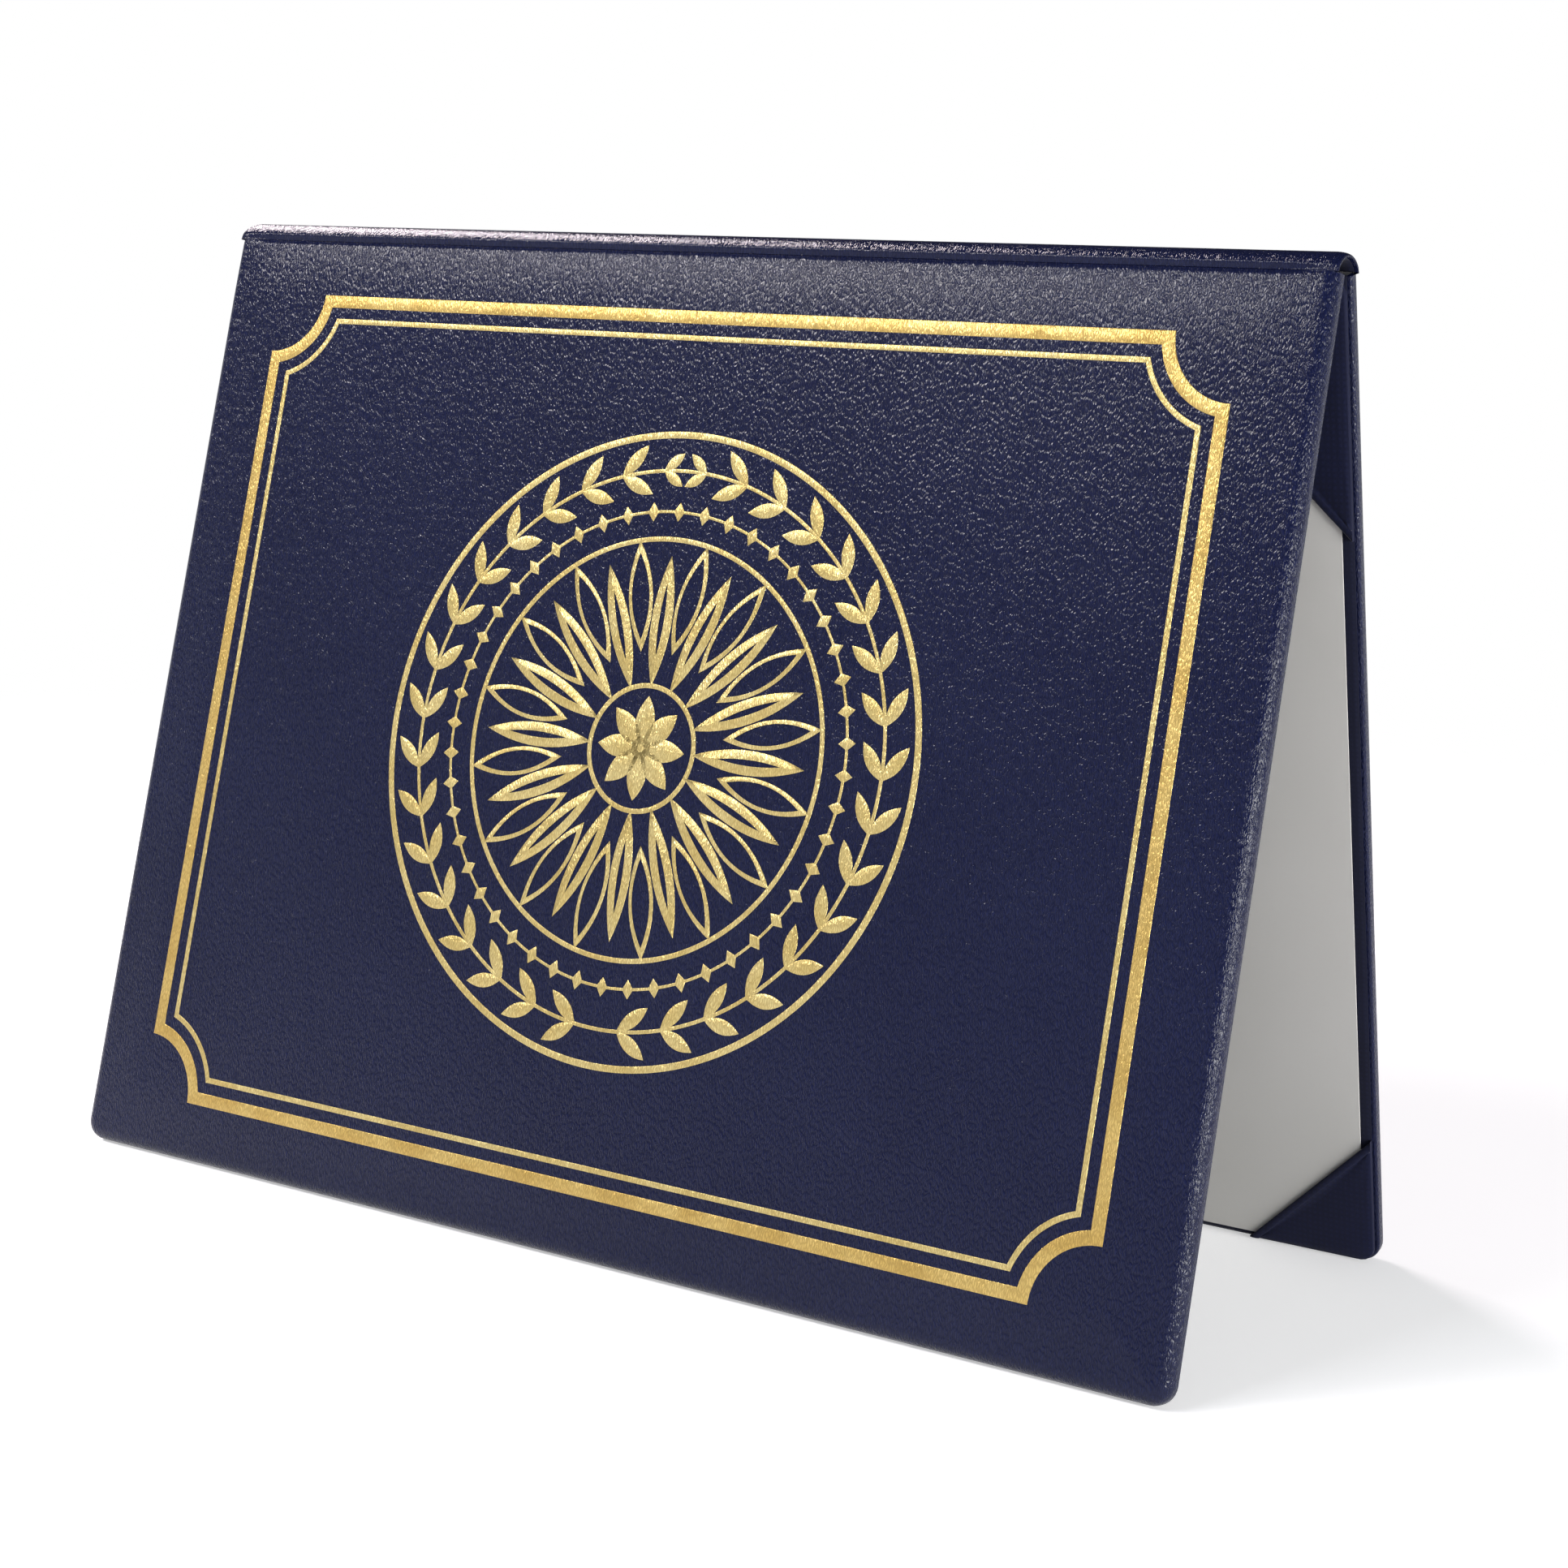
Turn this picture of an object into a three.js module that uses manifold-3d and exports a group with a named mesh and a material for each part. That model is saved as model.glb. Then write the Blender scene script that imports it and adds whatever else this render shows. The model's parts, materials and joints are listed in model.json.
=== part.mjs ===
// A padded diploma cover that stands open like a tent: two covers joined by an arched spine.
// Millimetres, +Z up, +X along the spine. The origin lies on the floor between the two feet.
// Each cover is built flat in its own frame and then leaned: x runs along the spine, z climbs from the
// foot to the crease, and depth runs from the inner face (0) to the padded outer face.

import * as THREE from 'three';
import { mergeVertices } from 'three/addons/utils/BufferGeometryUtils.js';
import Module from 'manifold-3d';

const wasm = await Module();
wasm.setup();

// Covers
const coverWidth = 286;
const coverHeight = 219;
const lean = THREE.MathUtils.degToRad(13.2);
const footCornerRadius = 4.5;
const creaseCornerRadius = 0.8;
const paddedRim = 3;
const innerRim = 0.6;
const creaseRim = 1.1;

// Layers of a cover, from the inner face outwards
const leather = 0.55;
const boardThickness = 1.8;
const padThickness = 1.2;
const glueGap = 0.2;
const turnInWidth = 15;
const boardEdgeRoom = 0.5;

// Spine
const spineWidth = 12;
const spineRise = 3.4;
const creaseGap = 0.3;
const spineTurnIn = 15;

// Lining, sheet and pocket corners
const liningThickness = 0.3;
const liningMargin = 0.8;
const sheetWidth = 279.4;
const sheetHeight = 215.9;
const sheetThickness = 0.25;
const sheetFootMargin = 1.8;
const sheetClearance = 0.25;
const pocketThickness = 0.45;
const pocketMargin = 0.8;
const lowerPocketLeg = 29.7;
const upperPocketLeg = 53;
const pocketCornerRadius = 3.2;
const hemWidth = 1.6;
const hemThickness = 0.25;

// Gold foil stamped on the front cover
const foilGap = 0.1;
const foilThickness = 0.15;
const borderSideInset = 17.6;
const borderTopInset = 13.5;
const borderFootInset = 13.4;
const scoopRadius = 14;
const bandWidth = 3;
const bandToLine = 2.5;
const lineWidth = 1.3;

const ringRadius = 69.3;
const ringWidth = 1.6;

const garlandRadius = 60.6;
const garlandStemWidth = 0.9;
const garlandPairs = 17;
const leafLength = 9.4;
const leafWidth = 3.3;
const leafAngle = THREE.MathUtils.degToRad(36);

const lozengeRadius = 51.6;
const lozengeCount = 48;
const lozengeHeight = 4.4;
const lozengeWidth = 3;
const lozengeLineWidth = 0.7;

const petalCount = 16;
const archRingRadius = 46.2;
const archRingWidth = 1.2;
const archFoot = 21;
const archWidth = 6.4;
const archLine = 0.9;
const petalFoot = 13.4;
const petalTip = 42;
const petalWidth = 5.4;
const petalSlitWidth = 1.3;
const petalSlitFoot = 20;
const petalSlitTip = 36;
const hubRadius = 14.2;
const hubWidth = 1.2;
const flowerPetals = 8;
const flowerReach = 11.4;
const flowerPetalWidth = 5;
const flowerEye = 2.6;

// Facets
const cornerSteps = 5;
const rimSteps = 5;
const scoopSteps = 4;
const ringSteps = 30;
const leafSteps = 4;
const spineSteps = 7;

// Depths and places that follow from the sizes above
const boardInner = leather + glueGap;
const boardOuter = boardInner + boardThickness;
const padInner = boardOuter + glueGap;
const padOuter = padInner + padThickness;
const coverDepth = padOuter + glueGap + leather;
const coverTop = coverHeight - creaseGap / 2;
const liningTop = -glueGap - liningThickness;
const sheetUnder = liningTop - glueGap;
const sheetTop = sheetUnder - sheetThickness;
const pocketUnder = sheetTop - glueGap;
const pocketTop = pocketUnder - pocketThickness;
const foilUnder = coverDepth + foilGap;
const foilTop = foilUnder + foilThickness;
const emblemHeight = coverHeight / 2;

const leatherMaterial = () => new THREE.MeshStandardMaterial({ color: 0x1f2344, roughness: 0.45 });
const liningMaterial = () => new THREE.MeshStandardMaterial({ color: 0x0b0e24, roughness: 0.8 });
const paperMaterial = () => new THREE.MeshStandardMaterial({ color: 0xdcdad2, roughness: 0.9 });
const boardMaterial = () => new THREE.MeshStandardMaterial({ color: 0x8a8478, roughness: 0.95 });
const foamMaterial = () => new THREE.MeshStandardMaterial({ color: 0xd8d6ce, roughness: 0.95 });
const foilMaterial = () => new THREE.MeshStandardMaterial({ color: 0xd8b868, roughness: 0.35, metalness: 0.9 });

// Solids and meshes

function toSolid(geometry) {
  const bare = geometry.clone();
  bare.deleteAttribute('normal');
  bare.deleteAttribute('uv');
  const merged = mergeVertices(bare, 1e-4);
  return new wasm.Manifold(new wasm.Mesh({
    numProp: 3,
    vertProperties: new Float32Array(merged.attributes.position.array),
    triVerts: new Uint32Array(merged.index.array),
  }));
}

function toGeometry(solid) {
  const { vertProperties, triVerts, numProp } = solid.getMesh();
  const points = [];
  for (let i = 0; i < vertProperties.length; i += numProp) {
    points.push(vertProperties[i], vertProperties[i + 1], vertProperties[i + 2]);
  }
  const geometry = new THREE.BufferGeometry();
  geometry.setAttribute('position', new THREE.Float32BufferAttribute(points, 3));
  geometry.setIndex([...triVerts]);
  geometry.computeVertexNormals();
  return geometry;
}

function piece(name, geometry, material) {
  const mesh = new THREE.Mesh(geometry, material);
  mesh.name = name;
  return mesh;
}

const joinAll = (solids) => solids.reduce((whole, next) => whole.add(next));

// A flat plate in a cover's frame: the outline is drawn in x and z, the thickness runs from one depth to
// another. side is 1 for the back cover, whose outer face looks along +y, and -1 for the front cover.
function plate(outline, side, from, to, steps = cornerSteps) {
  const low = Math.min(from, to);
  const high = Math.max(from, to);
  const geometry = new THREE.ExtrudeGeometry(outline, {
    depth: high - low,
    bevelEnabled: false,
    curveSegments: steps,
  });
  geometry.rotateX(Math.PI / 2);
  geometry.translate(0, side > 0 ? high : -low, 0);
  return geometry;
}

// Points round a rectangle whose foot corners and crease corners have their own radius
function roundedRectangle(halfWidth, foot, top, footRadius, topRadius) {
  const corners = [
    { x: halfWidth - footRadius, z: foot + footRadius, r: footRadius, start: -Math.PI / 2 },
    { x: halfWidth - topRadius, z: top - topRadius, r: topRadius, start: 0 },
    { x: -halfWidth + topRadius, z: top - topRadius, r: topRadius, start: Math.PI / 2 },
    { x: -halfWidth + footRadius, z: foot + footRadius, r: footRadius, start: Math.PI },
  ];
  const points = [];
  for (const corner of corners) {
    for (let k = 0; k <= cornerSteps; k += 1) {
      const angle = corner.start + (k / cornerSteps) * (Math.PI / 2);
      points.push([corner.x + corner.r * Math.cos(angle), corner.z + corner.r * Math.sin(angle)]);
    }
  }
  return points;
}

// Depths of a slab with round rims, and how far its outline has drawn in at each of them
function rimLevels(inner, outer, innerRadius, outerRadius) {
  const levels = [];
  for (let k = 0; innerRadius > 0 && k < rimSteps; k += 1) {
    const angle = (k / rimSteps) * (Math.PI / 2);
    levels.push([inner + innerRadius * (1 - Math.sin(angle)), innerRadius * (1 - Math.cos(angle))]);
  }
  levels.reverse();
  const centre = outer - outerRadius;
  if (innerRadius === 0 && inner < centre) {
    levels.push([inner, 0]);
  }
  const first = Math.asin(Math.max(0, inner - centre) / outerRadius);
  for (let k = 0; k <= rimSteps; k += 1) {
    const angle = first + (k / rimSteps) * (Math.PI / 2 - first);
    levels.push([centre + outerRadius * Math.sin(angle), outerRadius * (1 - Math.cos(angle))]);
  }
  return levels;
}

// A padded slab: one rounded outline at each depth, joined into a closed loft. The rim at the crease is
// tighter than the padded rims, because the leather runs on over the spine there.
function paddedSlab({ side, halfWidth, foot, top, footRadius, inner, outer, innerRadius, outerRadius, topShare }) {
  const levels = rimLevels(inner, outer, innerRadius, outerRadius);
  const rows = levels.map(([depth, inset]) => roundedRectangle(
    halfWidth - inset,
    foot + inset,
    top - inset * topShare,
    Math.max(footRadius - inset, 0.3),
    creaseCornerRadius,
  ).map(([x, z]) => [x, side * depth, z]));
  const count = rows[0].length;
  const points = rows.flat();
  const faces = [];
  for (let row = 0; row + 1 < rows.length; row += 1) {
    for (let k = 0; k < count; k += 1) {
      const next = (k + 1) % count;
      const [a, b] = [row * count + k, row * count + next];
      faces.push([a, b, b + count], [a, b + count, a + count]);
    }
  }
  const lastRow = (rows.length - 1) * count;
  for (let k = 1; k + 1 < count; k += 1) {
    faces.push([0, k + 1, k], [lastRow, lastRow + k, lastRow + k + 1]);
  }
  const turned = side > 0 ? faces.map(([a, b, c]) => [a, c, b]) : faces;
  const geometry = new THREE.BufferGeometry();
  geometry.setAttribute('position', new THREE.Float32BufferAttribute(points.flat(), 3));
  geometry.setIndex(turned.flat());
  geometry.computeVertexNormals();
  return geometry;
}

function block(xRange, yRange, zRange) {
  const [x, y, z] = [xRange, yRange, zRange].map(([low, high]) => ({ size: high - low, mid: (low + high) / 2 }));
  const geometry = new THREE.BoxGeometry(x.size, y.size, z.size);
  geometry.translate(x.mid, y.mid, z.mid);
  return toSolid(geometry);
}

const depthRange = (side, a, b) => [Math.min(side * a, side * b), Math.max(side * a, side * b)];

// Covers

// The leatherette round a cover: a padded skin, three turned edges and the flaps that they end in
function wrap(side) {
  const skin = toSolid(paddedSlab({
    side,
    halfWidth: coverWidth / 2,
    foot: 0,
    top: coverTop,
    footRadius: footCornerRadius,
    inner: 0,
    outer: coverDepth,
    innerRadius: innerRim,
    outerRadius: paddedRim,
    topShare: creaseRim / paddedRim,
  }));
  const room = toSolid(paddedSlab({
    side,
    halfWidth: coverWidth / 2 - leather,
    foot: leather,
    top: coverTop + coverDepth,
    footRadius: footCornerRadius - leather,
    inner: leather,
    outer: coverDepth - leather,
    innerRadius: 0,
    outerRadius: paddedRim - leather,
    topShare: 0,
  }));
  const windowHalfWidth = coverWidth / 2 - turnInWidth;
  const window = block(
    [-windowHalfWidth, windowHalfWidth],
    depthRange(side, -leather, 2 * leather),
    [turnInWidth, coverTop + coverDepth],
  );
  return toGeometry(skin.subtract(room).subtract(window));
}

function board(side) {
  const edge = boardInner + boardEdgeRoom;
  const outline = new THREE.Shape(roundedRectangle(
    coverWidth / 2 - edge,
    edge,
    coverTop - glueGap,
    footCornerRadius - edge,
    creaseCornerRadius,
  ).map(([x, z]) => new THREE.Vector2(x, z)));
  return plate(outline, side, boardInner, boardOuter);
}

function pad(side) {
  const edge = leather + glueGap;
  return paddedSlab({
    side,
    halfWidth: coverWidth / 2 - edge,
    foot: edge,
    top: coverTop - glueGap,
    footRadius: footCornerRadius - edge,
    inner: padInner,
    outer: padOuter,
    innerRadius: 0,
    outerRadius: paddedRim - edge,
    topShare: creaseRim / paddedRim,
  });
}

function lining(side) {
  const outline = new THREE.Shape(roundedRectangle(
    coverWidth / 2 - liningMargin,
    liningMargin,
    coverTop - liningMargin,
    footCornerRadius - liningMargin,
    creaseCornerRadius,
  ).map(([x, z]) => new THREE.Vector2(x, z)));
  return plate(outline, side, -glueGap, liningTop);
}

function sheet(side) {
  const outline = new THREE.Shape(roundedRectangle(
    sheetWidth / 2,
    sheetFootMargin,
    sheetFootMargin + sheetHeight,
    innerRim,
    innerRim,
  ).map(([x, z]) => new THREE.Vector2(x, z)));
  return plate(outline, side, sheetUnder, sheetTop);
}

// A pocket corner: a triangle over the sheet, with a lip along its two outer edges that reaches down to
// the lining beside the sheet, and a folded hem along the diagonal
function pocketCorner(side, acrossSign, isUpper) {
  const leg = isUpper ? upperPocketLeg : lowerPocketLeg;
  const outerX = coverWidth / 2 - pocketMargin;
  const outerZ = isUpper ? coverTop - pocketMargin / 2 : pocketMargin;
  const up = isUpper ? -1 : 1;
  const place = (inX, inZ) => new THREE.Vector2(acrossSign * (outerX - inX), outerZ + up * inZ);
  const arcStart = place(0, pocketCornerRadius);
  const arcEnd = place(pocketCornerRadius, 0);
  const arcTurn = place(0, 0);
  const outline = new THREE.Shape();
  outline.moveTo(...place(leg, 0).toArray());
  outline.lineTo(...place(0, leg).toArray());
  outline.lineTo(...arcStart.toArray());
  outline.quadraticCurveTo(...arcTurn.toArray(), ...arcEnd.toArray());
  const body = toSolid(plate(outline, side, sheetUnder, pocketTop));
  const hemOutline = new THREE.Shape([
    place(leg, 0),
    place(0, leg),
    place(0, leg - hemWidth * Math.SQRT2),
    place(leg - hemWidth * Math.SQRT2, 0),
  ]);
  const hem = toSolid(plate(hemOutline, side, pocketTop + pocketThickness / 2, pocketTop - hemThickness));
  const roomEdge = sheetWidth / 2 + sheetClearance;
  const roomFoot = sheetFootMargin - sheetClearance;
  const roomTop = sheetFootMargin + sheetHeight + sheetClearance;
  const room = block(
    [-roomEdge, roomEdge],
    depthRange(side, sheetUnder + glueGap, pocketUnder),
    [roomFoot, roomTop],
  );
  return toGeometry(body.add(hem).subtract(room));
}

// Spine

const spineRadius = ((spineWidth / 2) ** 2 + spineRise ** 2) / (2 * spineRise);

// An arched strip cut off level with the creases, centred on the spine's own circle
function archedStrip(outerRadius, innerRadius, length) {
  const drop = spineRadius - spineRise + creaseGap / 2;
  const outerTurn = Math.acos(drop / outerRadius);
  const innerTurn = Math.acos(drop / innerRadius);
  const outline = new THREE.Shape();
  outline.absarc(0, 0, outerRadius, Math.PI / 2 - outerTurn, Math.PI / 2 + outerTurn, false);
  outline.absarc(0, 0, innerRadius, Math.PI / 2 + innerTurn, Math.PI / 2 - innerTurn, true);
  const geometry = new THREE.ExtrudeGeometry(outline, {
    depth: length,
    bevelEnabled: false,
    curveSegments: spineSteps,
  });
  geometry.translate(0, spineRise - spineRadius, -length / 2);
  geometry.applyMatrix4(new THREE.Matrix4().makeBasis(
    new THREE.Vector3(0, 1, 0),
    new THREE.Vector3(0, 0, 1),
    new THREE.Vector3(1, 0, 0),
  ));
  return geometry;
}

// The leatherette over the spine, doubled at both ends where it is turned in
function spineWrap() {
  const doubled = toSolid(archedStrip(spineRadius, spineRadius - 2 * leather, coverWidth));
  const middle = toSolid(archedStrip(
    spineRadius - leather,
    spineRadius - 3 * leather,
    coverWidth - 2 * spineTurnIn,
  ));
  const below = middle.translate([0, 0, -creaseGap]);
  return toGeometry(doubled.subtract(middle).subtract(below));
}

function spineLining() {
  const outer = spineRadius - 2 * leather - glueGap;
  return archedStrip(outer, outer - liningThickness, coverWidth - 2 * liningMargin);
}

// Foil

// An outline with scooped corners, drawn in from the border's outer edge by a given distance. It runs
// counterclockwise. All scoops stay centred on the outer corners, so a band between two outlines keeps
// one width.
function scoopedPath(path, inset) {
  const halfWidth = coverWidth / 2 - borderSideInset;
  const top = coverHeight - borderTopInset;
  const radius = scoopRadius + inset;
  const turn = Math.asin(inset / radius);
  const corners = [[halfWidth, top], [-halfWidth, top], [-halfWidth, borderFootInset], [halfWidth, borderFootInset]];
  corners.forEach(([x, z], k) => {
    const start = (k + 3) * (Math.PI / 2) - turn;
    path.absarc(x, z, radius, start, start - Math.PI / 2 + 2 * turn, true);
  });
  return path;
}

function borderStrip(inset, width) {
  const outline = scoopedPath(new THREE.Shape(), inset);
  outline.holes.push(scoopedPath(new THREE.Path(), inset + width));
  return plate(outline, -1, foilUnder, foilTop, scoopSteps);
}

// Round the emblem's centre, angle 0 points to +x and angles turn towards the crease
const flatFoil = (outline, steps) => {
  const geometry = new THREE.ExtrudeGeometry(outline, {
    depth: foilThickness,
    bevelEnabled: false,
    curveSegments: steps,
  });
  return toSolid(geometry);
};

function annulus(outerRadius, width, steps = ringSteps) {
  const outline = new THREE.Shape();
  outline.absarc(0, 0, outerRadius, 0, 2 * Math.PI, false);
  const hole = new THREE.Path();
  hole.absarc(0, 0, outerRadius - width, 0, 2 * Math.PI, false);
  outline.holes.push(hole);
  return flatFoil(outline, steps);
}

// A pointed petal along +x, from the foot to the tip, widest at its middle
function petalPath(path, foot, tip, width) {
  const middle = (foot + tip) / 2;
  path.moveTo(foot, 0);
  path.quadraticCurveTo(middle, -width, tip, 0);
  path.quadraticCurveTo(middle, width, foot, 0);
  return path;
}

const petal = (foot, tip, width) => flatFoil(petalPath(new THREE.Shape(), foot, tip, width), leafSteps);

const turned = (solid, angle) => solid.rotate([0, 0, THREE.MathUtils.radToDeg(angle)]);

function aroundCentre(count, make) {
  return Array.from({ length: count }, (_, k) => turned(make(k), (k / count) * 2 * Math.PI));
}

// Emblem foil is made flat round its centre, then stood up on the front cover
function onFrontCover(solid) {
  const geometry = toGeometry(solid);
  geometry.rotateX(Math.PI / 2);
  geometry.translate(0, -foilUnder, emblemHeight);
  return geometry;
}

// A leaf garland: two branches climb from the foot of the ring to its top, with leaves in pairs
function garland() {
  const stem = annulus(garlandRadius + garlandStemWidth / 2, garlandStemWidth);
  const leaves = [];
  for (const branch of [1, -1]) {
    for (let k = 0; k < garlandPairs; k += 1) {
      const along = ((k + 0.5) / garlandPairs) * Math.PI;
      const place = -Math.PI / 2 + branch * along;
      for (const lean of [1, -1]) {
        const leaf = turned(petal(0, leafLength, leafWidth), branch * (Math.PI / 2) + lean * leafAngle);
        leaves.push(turned(leaf.translate([garlandRadius, 0, 0]), place));
      }
    }
  }
  return joinAll([stem, ...leaves]);
}

// A line of lozenges threaded on a fine ring
function lozengeRing() {
  const thread = annulus(lozengeRadius + lozengeLineWidth / 2, lozengeLineWidth);
  const outline = new THREE.Shape([
    new THREE.Vector2(lozengeRadius - lozengeHeight / 2, 0),
    new THREE.Vector2(lozengeRadius, -lozengeWidth / 2),
    new THREE.Vector2(lozengeRadius + lozengeHeight / 2, 0),
    new THREE.Vector2(lozengeRadius, lozengeWidth / 2),
  ]);
  return joinAll([thread, ...aroundCentre(lozengeCount, () => flatFoil(outline, 1))]);
}

// Pointed arches that hang from a ring, between the petals of the rosette
function archRing() {
  const ring = annulus(archRingRadius, archRingWidth);
  const ringMiddle = archRingRadius - archRingWidth / 2;
  const arch = () => {
    const outline = petalPath(new THREE.Shape(), archFoot, ringMiddle, archWidth);
    outline.holes.push(petalPath(new THREE.Path(), archFoot + 3 * archLine, ringMiddle - 3 * archLine,
      archWidth - 2 * archLine));
    return turned(flatFoil(outline, leafSteps), Math.PI / petalCount);
  };
  return joinAll([ring, ...aroundCentre(petalCount, arch)]);
}

// Slit petals that spread from a hub ring
function petalStar() {
  const hub = annulus(hubRadius, hubWidth);
  const slitPetal = () => {
    const outline = petalPath(new THREE.Shape(), petalFoot, petalTip, petalWidth);
    outline.holes.push(petalPath(new THREE.Path(), petalSlitFoot, petalSlitTip, petalSlitWidth));
    return flatFoil(outline, leafSteps);
  };
  return joinAll([hub, ...aroundCentre(petalCount, slitPetal)]);
}

function flower() {
  const eye = new THREE.Shape();
  eye.absarc(0, 0, flowerEye, 0, 2 * Math.PI, false);
  const petals = aroundCentre(flowerPetals, () => petal(0, flowerReach, flowerPetalWidth));
  return joinAll([flatFoil(eye, leafSteps * flowerPetals), ...petals]);
}

// Assembly

const frontCover = new THREE.Group();
frontCover.add(
  piece('front_board', board(-1), boardMaterial()),
  piece('front_pad', pad(-1), foamMaterial()),
  piece('front_wrap', wrap(-1), leatherMaterial()),
  piece('front_liner', lining(-1), liningMaterial()),
  piece('foil_border_band', borderStrip(0, bandWidth), foilMaterial()),
  piece('foil_border_line', borderStrip(bandWidth + bandToLine, lineWidth), foilMaterial()),
  piece('foil_ring', onFrontCover(annulus(ringRadius, ringWidth)), foilMaterial()),
  piece('foil_garland', onFrontCover(garland()), foilMaterial()),
  piece('foil_lozenge_ring', onFrontCover(lozengeRing()), foilMaterial()),
  piece('foil_arch_ring', onFrontCover(archRing()), foilMaterial()),
  piece('foil_petal_star', onFrontCover(petalStar()), foilMaterial()),
  piece('foil_flower', onFrontCover(flower()), foilMaterial()),
);

const backCover = new THREE.Group();
backCover.add(
  piece('back_board', board(1), boardMaterial()),
  piece('back_pad', pad(1), foamMaterial()),
  piece('back_wrap', wrap(1), leatherMaterial()),
  piece('back_liner', lining(1), liningMaterial()),
  piece('certificate_sheet', sheet(1), paperMaterial()),
  piece('corner_bottom_left', pocketCorner(1, -1, false), liningMaterial()),
  piece('corner_bottom_right', pocketCorner(1, 1, false), liningMaterial()),
  piece('corner_top_left', pocketCorner(1, -1, true), liningMaterial()),
  piece('corner_top_right', pocketCorner(1, 1, true), liningMaterial()),
);

const spine = new THREE.Group();
spine.add(
  piece('spine_wrap', spineWrap(), leatherMaterial()),
  piece('spine_liner', spineLining(), liningMaterial()),
);

// Each cover turns on its outer crease line, which lies half a spine width from the middle
const creaseToFootInner = coverHeight * Math.sin(lean) - coverDepth * Math.cos(lean);
const creaseHeight = coverHeight * Math.cos(lean) + coverDepth * Math.sin(lean);
frontCover.position.y = -(spineWidth / 2 + creaseToFootInner);
frontCover.rotation.x = -lean;
backCover.position.y = spineWidth / 2 + creaseToFootInner;
backCover.rotation.x = lean;
spine.position.z = creaseHeight;

// The round inner rims of the two feet touch the floor
const footDrop = innerRim * (Math.cos(lean) + Math.sin(lean) - 1);
const diplomaCover = new THREE.Group();
diplomaCover.add(frontCover, backCover, spine);
diplomaCover.position.z = -footDrop;

export default diplomaCover;
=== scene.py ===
"""Diploma cover standing open like a tent: two padded leatherette covers joined by an arched spine,
gold foil on the front, a sheet held by four pocket corners inside the back."""

import json
import math

import bpy
from mathutils import Euler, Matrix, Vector


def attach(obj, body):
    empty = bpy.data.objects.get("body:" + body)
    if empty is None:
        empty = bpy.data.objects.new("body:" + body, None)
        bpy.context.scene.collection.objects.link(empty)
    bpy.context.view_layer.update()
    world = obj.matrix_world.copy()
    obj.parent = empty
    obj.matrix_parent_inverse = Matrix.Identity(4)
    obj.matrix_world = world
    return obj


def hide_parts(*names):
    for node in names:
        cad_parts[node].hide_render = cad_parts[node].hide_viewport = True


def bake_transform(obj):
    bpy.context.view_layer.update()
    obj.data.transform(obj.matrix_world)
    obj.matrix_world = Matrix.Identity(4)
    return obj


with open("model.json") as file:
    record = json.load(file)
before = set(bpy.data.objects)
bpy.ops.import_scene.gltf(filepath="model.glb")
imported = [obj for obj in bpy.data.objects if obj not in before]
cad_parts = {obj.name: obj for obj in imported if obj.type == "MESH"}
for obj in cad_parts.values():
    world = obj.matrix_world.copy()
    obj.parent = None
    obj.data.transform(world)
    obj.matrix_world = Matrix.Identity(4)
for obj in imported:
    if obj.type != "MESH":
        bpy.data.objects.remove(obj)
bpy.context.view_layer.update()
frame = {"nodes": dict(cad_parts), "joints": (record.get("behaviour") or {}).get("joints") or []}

MM = 0.001
NODES = frame["nodes"]
JOINTS = {joint["name"]: joint for joint in frame["joints"]}


# Sizes of the part, in millimetres

COVER_WIDTH = 286.0
COVER_HEIGHT = 219.0
COVER_DEPTH = 4.7
LEAN = math.radians(13.2)
HALF_WIDTH = COVER_WIDTH / 2

PADDED_RIM = 3.0
INNER_RIM = 0.6
FOOT_CORNER = 4.5
TURN_IN = 15.0
LEATHER = 0.55
CROWN = 0.6
CROWN_RUN = 16.0
CREASE_FALL = 1.1
CREASE_FALL_RUN = 17.0
CREASE_DIP = 0.5
CREASE_DIP_RUN = 1.2
CREASE_LOW_RUN = 1.6
COVER_TOP = COVER_HEIGHT - 0.15

SPINE_HALF = 6.0
SPINE_RISE = 3.4
SPINE_RADIUS = (SPINE_HALF**2 + SPINE_RISE**2) / (2 * SPINE_RISE)
SPINE_HALF_TURN = math.atan2(SPINE_HALF, SPINE_RADIUS - SPINE_RISE)
SPINE_DEPTH = 2 * LEATHER
SPINE_ROWS = 22

LINING_MARGIN = 0.8
LINING_TOP = -0.5
LINING_UNDER = -0.2

POCKET_MARGIN = 0.8
POCKET_CORNER = 3.2
LOWER_POCKET = 29.7
UPPER_POCKET = 53.0
HEM_WIDTH = 1.7

CREASE = {
    1: Vector(JOINTS["rear_crease"]["pos_m"]) / MM,
    -1: Vector(JOINTS["front_crease"]["pos_m"]) / MM,
}
SPINE_CENTRE = CREASE[1].z - (SPINE_RADIUS - SPINE_RISE)


# Places on the covers

def cover_point(side, x, depth, height):
    """A place on a cover at rest, in metres. Side 1 is the back cover and -1 the front one. Depth runs
    from the inner face outwards, height from the foot to the crease."""
    crease = CREASE[side]
    out = depth - COVER_DEPTH
    up = height - COVER_HEIGHT
    y = crease.y + side * (out * math.cos(LEAN) - up * math.sin(LEAN))
    z = crease.z + out * math.sin(LEAN) + up * math.cos(LEAN)
    return Vector((x, y, z)) * MM


def spine_point(side, x, depth, turn):
    """A place on the spine at rest, in metres. Depth runs inwards from the outer face, turn from the
    middle of the arch towards the cover."""
    radius = SPINE_RADIUS - depth
    y = side * radius * math.sin(turn)
    z = SPINE_CENTRE + radius * math.cos(turn)
    return Vector((x, y, z)) * MM


def smooth(t):
    t = min(max(t, 0.0), 1.0)
    return t * t * (3 - 2 * t)


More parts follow.
